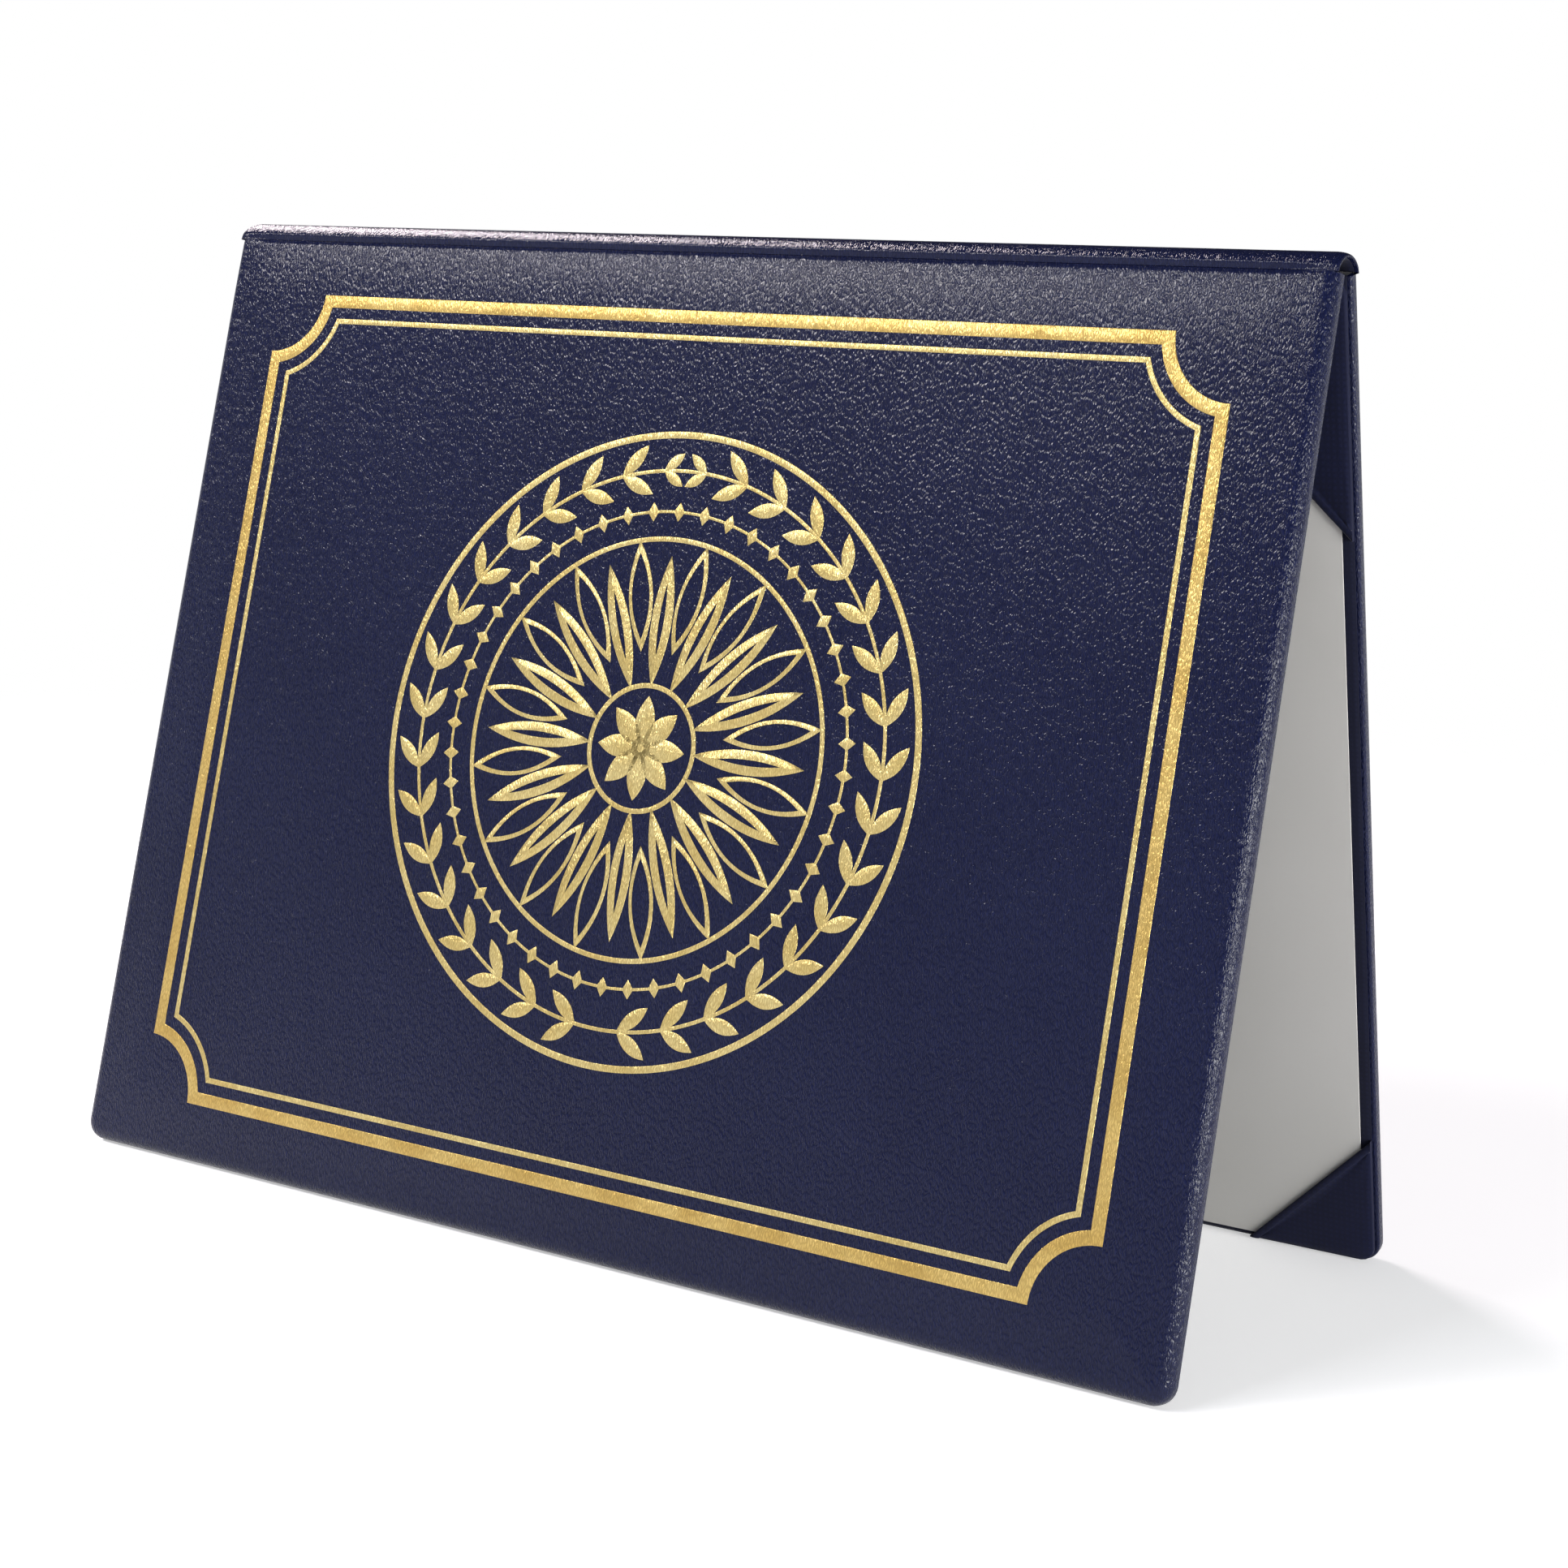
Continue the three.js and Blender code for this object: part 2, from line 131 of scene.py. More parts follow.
def face_depth(inset):
    """Depth of the padded face at a distance from the cover's edge: it crowns a little over the pad."""
    return COVER_DEPTH + CROWN * smooth(inset / CROWN_RUN)


def steps(start, stop, count):
    return [start + (stop - start) * k / count for k in range(count + 1)]


# Mesh helpers

def new_object(name, verts, faces, smooth_faces=True):
    mesh = bpy.data.meshes.new(name)
    mesh.from_pydata([tuple(v) for v in verts], [], faces)
    mesh.validate()
    mesh.update()
    for polygon in mesh.polygons:
        polygon.use_smooth = smooth_faces
    obj = bpy.data.objects.new(name, mesh)
    bpy.context.scene.collection.objects.link(obj)
    return obj


def set_grain(obj, coordinates):
    """Unrolled coordinates in metres: x along the cover, y along its height, over rims and spine."""
    attribute = obj.data.attributes.new("grain_co", "FLOAT_VECTOR", "POINT")
    flat = [value for point in coordinates for value in point]
    attribute.data.foreach_set("vector", flat)


def bridge(low, high):
    """Quads between two rows of point numbers."""
    return [(low[k], low[k + 1], high[k + 1], high[k]) for k in range(len(low) - 1)]


def grid_faces(rows, columns, flip):
    faces = []
    for r in range(rows - 1):
        for c in range(columns - 1):
            a = r * columns + c
            quad = (a, a + 1, a + columns + 1, a + columns)
            faces.append(quad[::-1] if flip else quad)
    return faces


# Leather over a cover and half of the spine

FACE_STEPS = 7
RIM_STEPS = 9
INNER_RIM_STEPS = 5
CORNER_STEPS = 8
COLUMN_COUNT = 60
SMALLEST_CORNER = 0.02
GAPS_BELOW_CREASE = (4.5, 3.0, 2.2, 1.6, 1.2, 0.9, 0.65, 0.4)
HEIGHTS = steps(20.0, 212.0, 48) + [COVER_HEIGHT - gap for gap in GAPS_BELOW_CREASE] + [COVER_TOP]
TURNS_BY_CREASE = (1.0, 0.988, 0.97, 0.945, 0.915, 0.88)
LAST_TURN = 0.004
END_CREASE_SHARE = 0.3
FLAP_LEVELLING = 0.85


def skin_profile():
    """Levels from the face to the end of the turn-in, each as (inset of the outline, depth, arc length
    outwards from the edge of the face)."""
    levels = []
    for inset in steps(CROWN_RUN, PADDED_RIM, FACE_STEPS)[:-1]:
        levels.append((inset, face_depth(inset)))
    centre = COVER_DEPTH - PADDED_RIM
    rim_top = face_depth(PADDED_RIM) - centre
    for angle in steps(math.pi / 2, 0, RIM_STEPS):
        levels.append((PADDED_RIM * (1 - math.cos(angle)), centre + rim_top * math.sin(angle)))
    for angle in steps(0, math.pi / 2, INNER_RIM_STEPS):
        levels.append((INNER_RIM * (1 - math.cos(angle)), INNER_RIM * (1 - math.sin(angle))))
    levels += [(TURN_IN / 2, 0.0), (TURN_IN, 0.0), (TURN_IN, LEATHER)]
    run = -CROWN_RUN
    profile = [(*levels[0], run)]
    for previous, level in zip(levels, levels[1:]):
        run += math.dist(previous, level)
        profile.append((*level, run))
    return profile


def corner_arc(centre_x, centre_height, radius, start):
    """Points of a quarter circle, counterclockwise."""
    return [
        (centre_x + radius * math.cos(angle), centre_height + radius * math.sin(angle))
        for angle in steps(start, start + math.pi / 2, CORNER_STEPS)
    ]


def u_outline(inset, columns):
    """Points of a U inside the cover's edge, or outside it where the inset is negative: down the left
    side from the crease, round the foot and up the right side."""
    half = HALF_WIDTH - inset
    radius = max(FOOT_CORNER - inset, SMALLEST_CORNER)
    points = [(-half, height) for height in reversed(HEIGHTS)]
    points += corner_arc(radius - half, inset + radius, radius, math.pi)
    points += [(x * (half - radius), inset) for x in columns[1:-1]]
    points += corner_arc(half - radius, inset + radius, radius, 1.5 * math.pi)
    points += [(half, height) for height in HEIGHTS]
    return points


def crease_share(x):
    """Share of the fall towards the crease: the leather draws down less at the cover's ends."""
    return END_CREASE_SHARE + (1 - END_CREASE_SHARE) * smooth((HALF_WIDTH - abs(x)) / CROWN_RUN)


def crease_low(x):
    """How far the crease line lies below the cover's plain depth."""
    crown = CROWN * smooth((HALF_WIDTH - abs(x)) / CROWN_RUN)
    return (CREASE_FALL + CREASE_DIP) * crease_share(x) - crown


def crease_shape(x, depth, height):
    """Depth of the leather near the crease: the face dips into the crease line."""
    face_share = smooth((depth - COVER_DEPTH + PADDED_RIM) / PADDED_RIM)
    fall = max((height - COVER_HEIGHT + CREASE_FALL_RUN) / CREASE_FALL_RUN, 0.0)
    dip = smooth((height - COVER_HEIGHT + CREASE_DIP_RUN) / CREASE_DIP_RUN)
    return depth - face_share * crease_share(x) * (CREASE_FALL * fall * fall + CREASE_DIP * dip)


def spine_turns():
    """Turns of the leather's rows from the crease to the middle of the arch: close together at the
    crease, and with a short last step so that the two leathers' normals agree where they meet."""
    last = TURNS_BY_CREASE[-1]
    shares = list(TURNS_BY_CREASE)
    shares += [last * (1 - k / SPINE_ROWS) for k in range(1, SPINE_ROWS)]
    shares += [LAST_TURN, 0.0]
    return [SPINE_HALF_TURN * share for share in shares]


def leather_skin(side, name):
    """The padded face with its rolled rims and turn-ins, and from there on over the crease, as a thin
    doubled edge, up to the middle of the spine."""
    profile = skin_profile()
    columns = steps(-1.0, 1.0, COLUMN_COUNT)
    verts = []
    coords = []
    faces = []

    def add(x, depth, height, grain):
        verts.append(cover_point(side, x, crease_shape(x, depth, height), height))
        coords.append(grain)
        return len(verts) - 1

    # Rings of the U, from the edge of the flat face outwards, over the rim and in to the turn-in's end
    rings = []
    for inset, depth, run in profile:
        places = zip(u_outline(inset, columns), u_outline(-run, columns))
        rings.append([add(x, depth, height, grain) for (x, height), grain in places])
    for inner, outer in zip(rings, rings[1:]):
        for k in range(len(inner) - 1):
            faces.append((inner[k], outer[k], outer[k + 1], inner[k + 1]))

    # The flat face inside the first ring
    edge = rings[0]
    side_count = len(HEIGHTS)
    foot_start = side_count + CORNER_STEPS
    row = edge[foot_start:len(edge) - foot_start]
    half = HALF_WIDTH - CROWN_RUN
    face_top = face_depth(CROWN_RUN)
    for left, height, right in zip(edge[:side_count][::-1], HEIGHTS, edge[-side_count:]):
        middle = [add(x * half, face_top, height, (x * half, height)) for x in columns[1:-1]]
        following = [left] + middle + [right]
        faces += bridge(row, following)
        row = following

    # Over the crease and up the spine: the same row of points goes on as a thin doubled edge
    row = [ring[0] for ring in reversed(rings)] + row[1:-1] + [ring[-1] for ring in rings]
    across = [(verts[index].x / MM, coords[index][0]) for index in row]
    level_depths = [level[1] for level in profile]
    depths = level_depths[::-1] + [face_top] * (COLUMN_COUNT - 1) + level_depths
    thinning = SPINE_DEPTH / COVER_DEPTH
    for turn in spine_turns():
        arc = (SPINE_HALF_TURN - turn) * SPINE_RADIUS
        rise = 1 - smooth(arc / CREASE_LOW_RUN)
        following = []
        for (x, grain_x), depth in zip(across, depths):
            below = max(COVER_DEPTH - depth, 0.0) * thinning
            dip = crease_low(x) * rise * (1 - FLAP_LEVELLING * below / SPINE_DEPTH)
            following.append(len(verts))
            verts.append(spine_point(side, x, below + dip, turn))
            coords.append((grain_x, COVER_HEIGHT + arc))
        faces += bridge(row, following)
        row = following

    if side > 0:
        faces = [face[::-1] for face in faces]
    obj = new_object(name, verts, faces)
    spine_middle = COVER_HEIGHT + SPINE_HALF_TURN * SPINE_RADIUS
    grain = []
    for x, y in coords:
        along = y if side < 0 else 2 * spine_middle - y
        grain.append((x * MM, along * MM, 0.0))
    set_grain(obj, grain)
    return obj


# Lining, as one cloth over a cover's inside and half of the spine's

LINING_EDGE = 0.12
LINING_START = 0.05
FOOT_ROWS = (0.15, 0.5, 1.0, 1.7, 2.6, 3.7)
BOARD_END = 218.5
ROWS_BY_BOARD_END = [215.0, 217.0, 218.0, BOARD_END]
BEND_DEPTH = 0.5
BEND_RISE = 0.55
DEPTHS_OVER_BOARD = (0.8, 1.6, 2.4, 3.0)
LINING_SPINE_DEPTH = SPINE_DEPTH + 0.2
LINING_FIRST_TURN = 0.97 * SPINE_HALF_TURN
LINING_SPINE_STEPS = 14
LINING_COLUMNS = 40


def lining_path():
    """Places along the lining, each on the cover as (True, depth, height) or on the spine as (False,
    depth, turn): up the inner face, over the end of the board and along the underside of the arch."""
    path = [
        (True, LINING_UNDER + LINING_EDGE, LINING_MARGIN + LINING_START),
        (True, LINING_TOP + LINING_START, LINING_MARGIN),
    ]
    heights = [LINING_MARGIN + rise for rise in FOOT_ROWS] + steps(8.0, 212.0, 26) + ROWS_BY_BOARD_END
    path += [(True, LINING_TOP, height) for height in heights]
    for angle in steps(0, math.pi / 2, 5)[1:]:
        depth = LINING_TOP + BEND_DEPTH * (1 - math.cos(angle))
        path.append((True, depth, BOARD_END + BEND_RISE * math.sin(angle)))
    path += [(True, depth, BOARD_END + BEND_RISE) for depth in DEPTHS_OVER_BOARD]
    turns = steps(LINING_FIRST_TURN, 0, LINING_SPINE_STEPS)
    path += [(False, LINING_SPINE_DEPTH, turn) for turn in turns]
    return path


def lining_skin(side, name):
    """One surface whose outer columns and foot turn down towards the leather under it."""
    half = HALF_WIDTH - LINING_MARGIN
    corner = FOOT_CORNER - LINING_MARGIN
    inside = steps(2 - half, half - 2, LINING_COLUMNS)
    across = [-half, LINING_EDGE - half] + inside + [half - LINING_EDGE, half]
    path = lining_path()
    verts = []
    grain = []
    run = 0.0
    previous = None
    for on_cover, depth, place in path:
        for x in across:
            edge = LINING_EDGE if abs(x) == half else 0.0
            if on_cover:
                short = max(corner - (place - LINING_MARGIN), 0.0)
                reach = half - corner + math.sqrt(corner * corner - short * short)
                verts.append(cover_point(side, x * reach / half, depth + edge, place))
            else:
                verts.append(spine_point(side, x, depth - edge, place))
        if previous is not None:
            run += (verts[-1] - previous).length
        previous = verts[-1]
        grain += [(x * MM, run if side < 0 else -run, 0.0) for x in across]
    obj = new_object(name, verts, grid_faces(len(path), len(across), side < 0))
    set_grain(obj, grain)
    return obj


# Gold foil

FOIL_LIFT = 0.05
EMBLEM_HEIGHT = COVER_HEIGHT / 2
BORDER_SIDE = 17.6
BORDER_TOP = 13.5
BORDER_FOOT = 13.4
SCOOP = 14.0
SCOOP_STEPS = 20
SIDE_STEPS = 24
BAND_WIDTH = 3.0
LINE_INSET = 5.5
LINE_WIDTH = 1.3

# Stamped edges: how deep they roll into the leather, how proud their ridge stands, how wide they are
LINE_DROP = -0.12
SHAPE_DROP = -0.1
RIDGE = 0.03
LINE_EDGE = 0.16
LINE_EDGE_SHARE = 0.15
SHAPE_EDGE = 0.12
SHAPE_EDGE_SHARE = 0.3
NO_GAP = 1e-6


def foil_depth(x, height):
    inset = min(HALF_WIDTH - abs(x), height)
    depth = face_depth(inset)
    return crease_shape(x, depth, height) + FOIL_LIFT


def foil_object(name, points, faces):
    """Foil on the front cover from flat points (x, height, lift)."""
    verts = [cover_point(-1, x, foil_depth(x, h) + lift, h) for x, h, lift in points]
    obj = new_object(name, verts, faces)
    set_grain(obj, [(x * MM, h * MM, 0.0) for x, h, lift in points])
    return obj


def strip_faces(loops, count):
    faces = []
    for row in range(loops - 1):
        for k in range(count):
            following = (k + 1) % count
            a = row * count + k
            b = row * count + following
            faces.append((a, b, b + count, a + count))
    return faces


def scooped_outline(inset):
    """Border outline with scooped corners centred on the outer corners, counterclockwise from the top
    right."""
    half = HALF_WIDTH - BORDER_SIDE
    top = COVER_HEIGHT - BORDER_TOP
    radius = SCOOP + inset
    turn = math.asin(inset / radius)
    corners = [(half, top), (-half, top), (-half, BORDER_FOOT), (half, BORDER_FOOT)]
    scoops = []
    for k, (x, z) in enumerate(corners):
        start = (k + 3) * (math.pi / 2) - turn
        sweep = math.pi / 2 - 2 * turn
        scoops.append([
            (x + radius * math.cos(start - sweep * t), z + radius * math.sin(start - sweep * t))
            for t in steps(0, 1, SCOOP_STEPS)
        ])
    points = []
    for k, scoop in enumerate(scoops):
        points += scoop
        end = scoop[-1]
        start = scoops[(k + 1) % 4][0]
        for t in steps(0, 1, SIDE_STEPS)[1:-1]:
            points.append((end[0] + (start[0] - end[0]) * t, end[1] + (start[1] - end[1]) * t))
    return points


def stamped_section(width):
    """Offsets across a foil line with its lift: the stamped edges roll down into the leather."""
    edge = min(LINE_EDGE, width * LINE_EDGE_SHARE)
    roll = edge * 0.45
    return [
        (0.0, LINE_DROP), (roll, 0.0), (edge, RIDGE), (width / 2, 0.0),
        (width - edge, RIDGE), (width - roll, 0.0), (width, LINE_DROP),
    ]


def border(name, inset, width):
    points = []
    section = stamped_section(width)
    for offset, lift in section:
        points += [(x, h, lift) for x, h in scooped_outline(inset + offset)]
    count = len(points) // len(section)
    return foil_object(name, points, strip_faces(len(section), count))


def annulus(outer_radius, width, count=240):
    points = []
    section = stamped_section(width)
    for offset, lift in section:
        radius = outer_radius - offset
        for k in range(count):
            angle = 2 * math.pi * k / count
            points.append((radius * math.cos(angle), radius * math.sin(angle), lift))
    return points, strip_faces(len(section), count)


PETAL_STEPS = 14


def quad_curve(a, control, b, count):
    points = []
    for t in steps(0, 1, count):
        u = 1 - t
        points.append((
            u * u * a[0] + 2 * u * t * control[0] + t * t * b[0],
            u * u * a[1] + 2 * u * t * control[1] + t * t * b[1],
        ))
    return points


def petal_sides(foot, tip, width, count):
    middle = (foot + tip) / 2
    lower = quad_curve((foot, 0), (middle, -width), (tip, 0), count)
    upper = quad_curve((foot, 0), (middle, width), (tip, 0), count)
    return lower, upper


def petal(foot, tip, width, slit=None, count=PETAL_STEPS):
    """A pointed petal along +x with softly falling edges. A slit (foot, tip, width) leaves it open
    along the middle."""
    lower, upper = petal_sides(foot, tip, width, count)
    points = []
    faces = []

    def band(edge, inner):
        start = len(points)
        for k in range(count + 1):
            outer_point = edge[k]
            inner_point = inner[k]
            gap = math.dist(outer_point, inner_point)
            soft = min(SHAPE_EDGE, gap * SHAPE_EDGE_SHARE) / gap if gap > NO_GAP else 0.0
            for share, lift in ((0.0, SHAPE_DROP), (soft / 2, 0.0), (soft, RIDGE), (1.0, RIDGE)):
                points.append((
                    outer_point[0] + (inner_point[0] - outer_point[0]) * share,
                    outer_point[1] + (inner_point[1] - outer_point[1]) * share,
                    lift if gap > NO_GAP else 0.0,
                ))
        for k in range(count):
            for s in range(3):
                a = start + k * 4 + s
                faces.append((a, a + 4, a + 5, a + 1))

    if slit is None:
        spine_line = [((lo[0] + up[0]) / 2, 0.0) for lo, up in zip(lower, upper)]
        band(lower, spine_line)
        band(upper, spine_line)
    else:
        slit_lower, slit_upper = petal_sides(*slit, count)
        band(lower, slit_lower)
        band(upper, slit_upper)
    return points, faces


def moved(shape, angle=0.0, shift=(0.0, 0.0)):
    points, faces = shape
    cosine = math.cos(angle)
    sine = math.sin(angle)
    result = []
    for x, y, lift in points:
        result.append((x * cosine - y * sine + shift[0], x * sine + y * cosine + shift[1], lift))
    return result, faces


def combined(shapes):
    points = []
    faces = []
    for part_points, part_faces in shapes:
        base = len(points)
        points += part_points
        faces += [tuple(index + base for index in face) for face in part_faces]
    return points, faces


def around(count, shape, offset=0.0):
    return [moved(shape, 2 * math.pi * k / count + offset) for k in range(count)]


def emblem(name, shapes):
    points, faces = combined(shapes)
    placed = [(x, y + EMBLEM_HEIGHT, lift) for x, y, lift in points]
    return foil_object(name, placed, faces)


RING_RADIUS = 69.3
RING_WIDTH = 1.6
RING_STEPS = 360

GARLAND_RADIUS = 60.6
STEM_WIDTH = 0.9
LEAF_PAIRS = 17
LEAF_LENGTH = 9.4
LEAF_WIDTH = 3.3
LAST_LEAF_LENGTH = 6.2
LAST_LEAF_WIDTH = 2.5
LEAF_TILT = math.radians(36)
LEAF_STEPS = 10

LOZENGE_COUNT = 48
LOZENGE_RADIUS = 51.6
LOZENGE_HALF_LENGTH = 2.2
LOZENGE_HALF_WIDTH = 1.5
LOZENGE_LINE = 0.7
LOZENGE_LEVELS = ((1.0, SHAPE_DROP), (0.93, 0.0), (0.86, RIDGE))

# Petals and their slits are written as (foot, tip, width), rings as (outer radius, width)
STAR_COUNT = 16
ARCH = (21.0, 45.6, 6.4)
ARCH_SLIT = (23.7, 42.9, 4.6)
ARCH_RING = (46.2, 1.2)
STAR_PETAL = (13.4, 42.0, 5.4)
STAR_SLIT = (20.0, 36.0, 1.3)
HUB_RING = (14.2, 1.2)
FLOWER_PETAL = (0.0, 11.4, 5.0)
FLOWER_COUNT = 8
EYE_LEVELS = ((2.35, RIDGE), (2.5, 0.0), (2.6, SHAPE_DROP))
EYE_STEPS = 48


def garland_shapes():
    """Two branches of paired leaves on a ring. The last pairs are short, so that they stay apart where
    the branches meet."""
    leaf = petal(0, LEAF_LENGTH, LEAF_WIDTH, count=LEAF_STEPS)
    last_leaf = petal(0, LAST_LEAF_LENGTH, LAST_LEAF_WIDTH, count=LEAF_STEPS)
    shapes = [annulus(GARLAND_RADIUS + STEM_WIDTH / 2, STEM_WIDTH)]
    for branch in (1, -1):
        for k in range(LEAF_PAIRS):
            place = -math.pi / 2 + branch * ((k + 0.5) / LEAF_PAIRS) * math.pi
            shape = last_leaf if k == LEAF_PAIRS - 1 else leaf
            for tilt in (LEAF_TILT, -LEAF_TILT):
                turned = moved(shape, branch * math.pi / 2 + tilt, (GARLAND_RADIUS, 0))
                shapes.append(moved(turned, place))
    return shapes


def lozenge_shapes():
    corners = [
        (-LOZENGE_HALF_LENGTH, 0), (0, -LOZENGE_HALF_WIDTH),
        (LOZENGE_HALF_LENGTH, 0), (0, LOZENGE_HALF_WIDTH),
    ]
    points = []
    for share, lift in LOZENGE_LEVELS:
        points += [(LOZENGE_RADIUS + x * share, y * share, lift) for x, y in corners]
    faces = strip_faces(len(LOZENGE_LEVELS), len(corners)) + [(8, 9, 10, 11)]
    line = annulus(LOZENGE_RADIUS + LOZENGE_LINE / 2, LOZENGE_LINE)
    return [line] + around(LOZENGE_COUNT, (points, faces))


def arch_shapes():
    half_step = math.pi / STAR_COUNT
    return [annulus(*ARCH_RING)] + around(STAR_COUNT, petal(*ARCH, slit=ARCH_SLIT), half_step)


def petal_shapes():
    return [annulus(*HUB_RING)] + around(STAR_COUNT, petal(*STAR_PETAL, slit=STAR_SLIT))


def flower_shapes():
    eye = [(0.0, 0.0, RIDGE)]
    for radius, lift in EYE_LEVELS:
        for k in range(EYE_STEPS):
            angle = 2 * math.pi * k / EYE_STEPS
            eye.append((radius * math.cos(angle), radius * math.sin(angle), lift))
    faces = []
    for k in range(EYE_STEPS):
        following = (k + 1) % EYE_STEPS
        faces.append((0, 1 + k, 1 + following))
        for ring in range(len(EYE_LEVELS) - 1):
            a = 1 + ring * EYE_STEPS + k
            b = 1 + ring * EYE_STEPS + following
            faces.append((a, a + EYE_STEPS, b + EYE_STEPS, b))
    return [(eye, faces)] + around(FLOWER_COUNT, petal(*FLOWER_PETAL))


# Pocket corners on the sheet inside the back cover

POCKET_STEPS = 52

# Rows of a pocket as (share of the way from its outer edges to the hem's inner line, depth)
POCKET_ROWS = (
    (0.0, -0.55), (0.0, -1.25), (0.006, -1.5), (0.02, -1.6), (0.2, -1.68),
    (0.4, -1.74), (0.6, -1.78), (0.8, -1.74), (0.9, -1.66),
)

# Rows round the hem and under it as (distance from its inner line, depth)
HEM_ROWS = (
    (0.0, -1.62), (0.12, -1.8), (0.45, -1.92), (1.0, -1.93),
    (1.45, -1.84), (1.66, -1.62), (1.6, -1.38), (1.35, -1.2),
)


def pocket_edge(leg, share):
    """A point of the two outer edges, from one end of the diagonal round the corner to the other, as
    its distances from the two edges."""
    straight = leg - POCKET_CORNER
    bend = POCKET_CORNER * math.pi / 2
    run = share * (2 * straight + bend)
    if run <= straight:
        return leg - run, 0.0
    if run <= straight + bend:
        angle = (run - straight) / POCKET_CORNER
        return POCKET_CORNER * (1 - math.sin(angle)), POCKET_CORNER * (1 - math.cos(angle))
    return 0.0, run - straight - bend + POCKET_CORNER


def pocket(name, across, is_upper):
    """A folded triangle of cloth: it lies over the sheet, swells a little in its middle, rolls over a
    hem along the diagonal and turns down at the cover's edges."""
    leg = UPPER_POCKET if is_upper else LOWER_POCKET
    outer_x = HALF_WIDTH - POCKET_MARGIN
    outer_height = COVER_TOP - POCKET_MARGIN / 2 if is_upper else POCKET_MARGIN
    up = -1 if is_upper else 1
    shares = steps(0, 1, POCKET_STEPS)
    verts = []
    grain = []

    def add(from_side, from_end, depth):
        x = across * (outer_x - from_side)
        height = outer_height + up * from_end
        verts.append(cover_point(1, x, depth, height))
        grain.append((x * MM, height * MM, 0.0))

    inner_line = leg - HEM_WIDTH * math.sqrt(2)
    for way, depth in POCKET_ROWS:
        for share in shares:
            from_side, from_end = pocket_edge(leg, share)
            add(
                from_side + (inner_line * (1 - share) - from_side) * way,
                from_end + (inner_line * share - from_end) * way,
                depth,
            )
    for offset, depth in HEM_ROWS:
        line = leg - (HEM_WIDTH - offset) * math.sqrt(2)
        for share in shares:
            add(line * (1 - share), line * share, depth)
    row_count = len(POCKET_ROWS) + len(HEM_ROWS)
    obj = new_object(name, verts, grid_faces(row_count, len(shares), (across > 0) == is_upper))
    set_grain(obj, grain)
    return obj


# Materials

class Tree:
    """A short way to write a node material."""

    def __init__(self, name):
        self.material = bpy.data.materials.new(name)
        self.material.use_nodes = True
        self.nodes = self.material.node_tree.nodes
        self.links = self.material.node_tree.links
        self.nodes.clear()
        self.output = self.nodes.new("ShaderNodeOutputMaterial")

    def node(self, kind, values=None, **settings):
        made = self.nodes.new(kind)
        for key, value in settings.items():
            setattr(made, key, value)
        for key, value in (values or {}).items():
            if isinstance(value, bpy.types.NodeSocket):
                self.links.new(value, made.inputs[key])
            else:
                made.inputs[key].default_value = value
        return made

    def math(self, operation, a, b):
        made = self.node("ShaderNodeMath", {0: a, 1: b}, operation=operation)
        return made.outputs[0]

    def mix(self, factor, a, b):
        """A colour between a and b. Sockets 0, 6 and 7 are the node's factor and colours."""
        made = self.node("ShaderNodeMix", data_type="RGBA")
        for key, value in ((0, factor), (6, a), (7, b)):
            if isinstance(value, bpy.types.NodeSocket):
                self.links.new(value, made.inputs[key])
            else:
                made.inputs[key].default_value = value
        return made.outputs[2]

    def ramp(self, factor, low, high):
        """0 below low, 1 above high and a smooth rise between."""
        values = {0: factor, 1: low, 2: high}
        made = self.node("ShaderNodeMapRange", values, interpolation_type="SMOOTHSTEP")
        return made.outputs[0]

    def noise(self, vector, scale, detail, roughness=0.55):
        made = self.node(
            "ShaderNodeTexNoise",
            {"Vector": vector, "Scale": scale, "Detail": detail, "Roughness": roughness},
        )
        return made.outputs[0]

    def mapped(self, vector, turn, stretch):
        mapping = self.node("ShaderNodeMapping", {"Vector": vector, "Scale": stretch})
        mapping.inputs["Rotation"].default_value = (0.0, 0.0, turn)
        return mapping.outputs[0]

    def grain_coordinates(self, turn=0.0, stretch=(1.0, 1.0, 1.0)):
        attribute = self.node("ShaderNodeAttribute", attribute_name="grain_co")
        return self.mapped(attribute.outputs["Vector"], turn, stretch)

    def surface(self, shader):
        self.links.new(shader.outputs[0], self.output.inputs["Surface"])
        return self.material


# Grain of the leatherette: scales are per metre, the wander is in metres, and the three heights are
# shares of the bump's own distance
WANDER_SCALE = 520.0
WANDER = 0.0013
PEBBLE_SCALE = 2250.0
PEBBLE_TURN = math.radians(7)
PEBBLE_STRETCH = (1.0, 0.27, 1.0)
PEBBLE_EDGE = 0.38
FINE_SCALE = 3800.0
SWELL_SCALE = 1500.0
SWELL_TURN = math.radians(4)
SWELL_STRETCH = (1.0, 0.17, 1.0)
PEBBLE_HEIGHT = 0.6
FINE_HEIGHT = 0.28
SWELL_HEIGHT = 1.1

NAVY = (0.0066, 0.0092, 0.038, 1.0)
NAVY_CLOUD = (0.0090, 0.0122, 0.045, 1.0)
# Paler navy painted on the raised swell as a highlight
NAVY_PAINTED_HIGHLIGHT = (0.013, 0.017, 0.058, 1.0)
# Darker navy painted between the pebbles as shade
NAVY_PAINTED_SHADE = (0.003, 0.004, 0.016, 1.0)
# Darker gold painted between the pebbles as shade
FOIL_PAINTED_SHADE = (0.28, 0.18, 0.045, 1.0)


